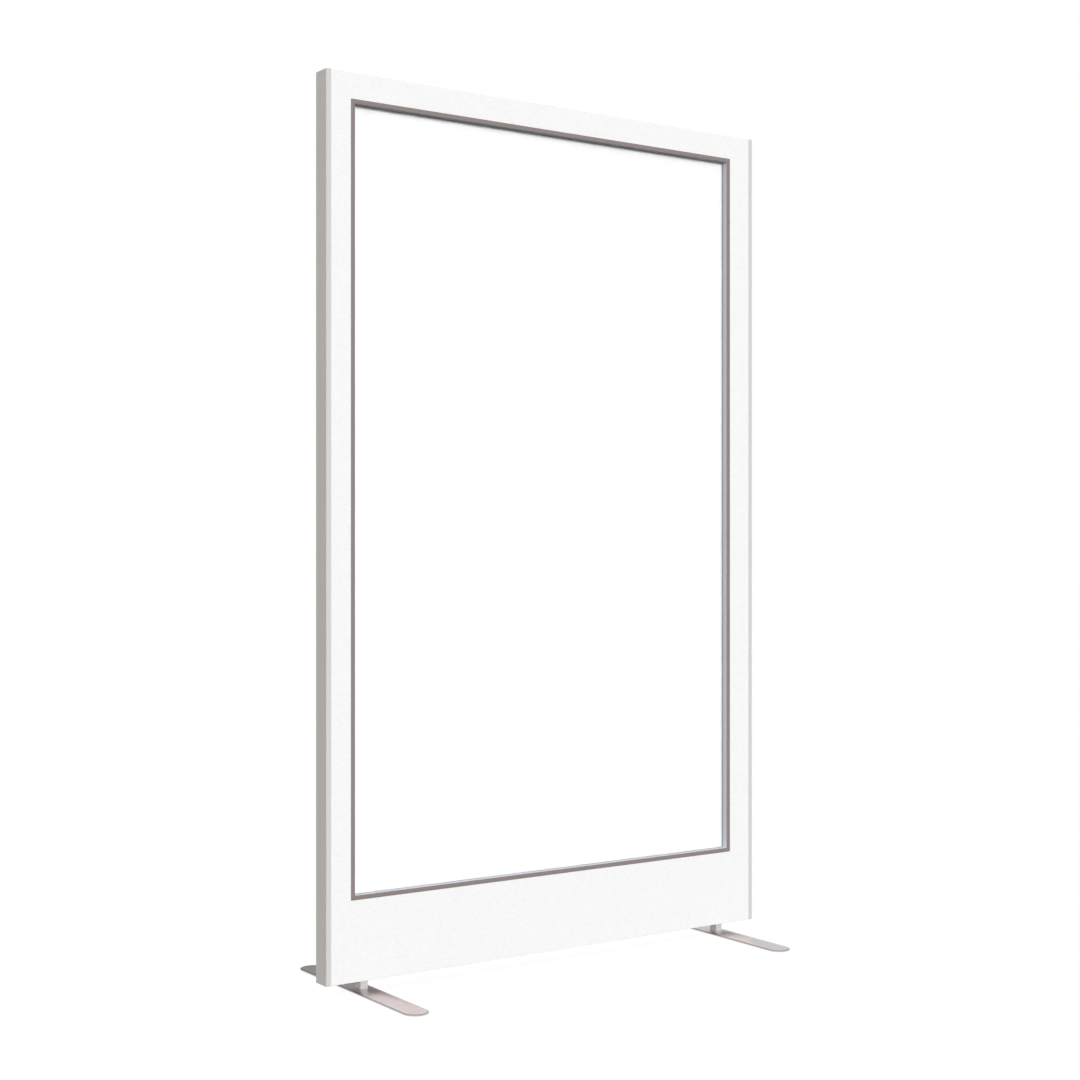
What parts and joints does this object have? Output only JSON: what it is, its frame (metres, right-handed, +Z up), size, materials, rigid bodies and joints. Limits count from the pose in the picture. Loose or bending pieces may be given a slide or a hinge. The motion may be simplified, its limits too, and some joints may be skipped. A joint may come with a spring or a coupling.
{
  "type": "partition screen",
  "caption": "Free-standing office screen: a white fabric-faced frame round a large frosted window, with light grey end trims, on flat crosswise feet with rounded ends.",
  "frame": {"origin": "on the floor, under the middle of the panel", "axes": "+X along the panel's width, -Y the front, +Z up"},
  "size_m": [1, 0.426, 1.65],
  "materials": {
    "white_fabric": "fine woven white fabric",
    "face_board": "smooth fibreboard",
    "core_timber": "planed softwood",
    "dowel": "turned beech",
    "edge_trim": "satin light grey",
    "bead": "satin bluish grey",
    "bead_cap": "satin brown-grey",
    "pane": "frosted white",
    "gasket": "matt light grey",
    "foot_plate": "satin",
    "foot_post": "satin",
    "fastener": "zinc plated",
    "insert": "turned"
  },
  "bodies": {
    "panel": {"left_stile": "core_timber", "left_edge_trim": "edge_trim", "left_foot_insert": "insert", "right_stile": "core_timber", "right_edge_trim": "edge_trim", "right_foot_insert": "insert", "top_rail": "core_timber", "bottom_rail": "core_timber", "frame_dowels": "dowel", "front_face_board": "face_board", "front_fabric_cover": "white_fabric", "front_bead_top": "bead", "front_cap_top": "bead_cap", "front_bead_bottom": "bead", "front_cap_bottom": "bead_cap", "front_bead_left": "bead", "front_cap_left": "bead_cap", "front_bead_right": "bead", "front_cap_right": "bead_cap", "rear_face_board": "face_board", "rear_fabric_cover": "white_fabric", "rear_bead_top": "bead", "rear_cap_top": "bead_cap", "rear_bead_bottom": "bead", "rear_cap_bottom": "bead_cap", "rear_bead_left": "bead", "rear_cap_left": "bead_cap", "rear_bead_right": "bead", "rear_cap_right": "bead_cap", "vision_pane": "pane", "pane_gasket": "gasket"},
    "left_foot": {"left_foot_plate": "foot_plate", "left_foot_post": "foot_post", "left_foot_bolt": "fastener"},
    "right_foot": {"right_foot_plate": "foot_plate", "right_foot_post": "foot_post", "right_foot_bolt": "fastener"}
  },
  "joints": [
    {"name": "left_foot_swivel", "type": "hinge", "parent": "panel", "child": "left_foot", "pos_m": [-0.418, 0, 0.021], "axis": [0, 0, 1], "range_deg": [-90, 90]},
    {"name": "right_foot_swivel", "type": "hinge", "parent": "panel", "child": "right_foot", "pos_m": [0.418, 0, 0.021], "axis": [0, 0, 1], "range_deg": [-90, 90]}
  ]
}
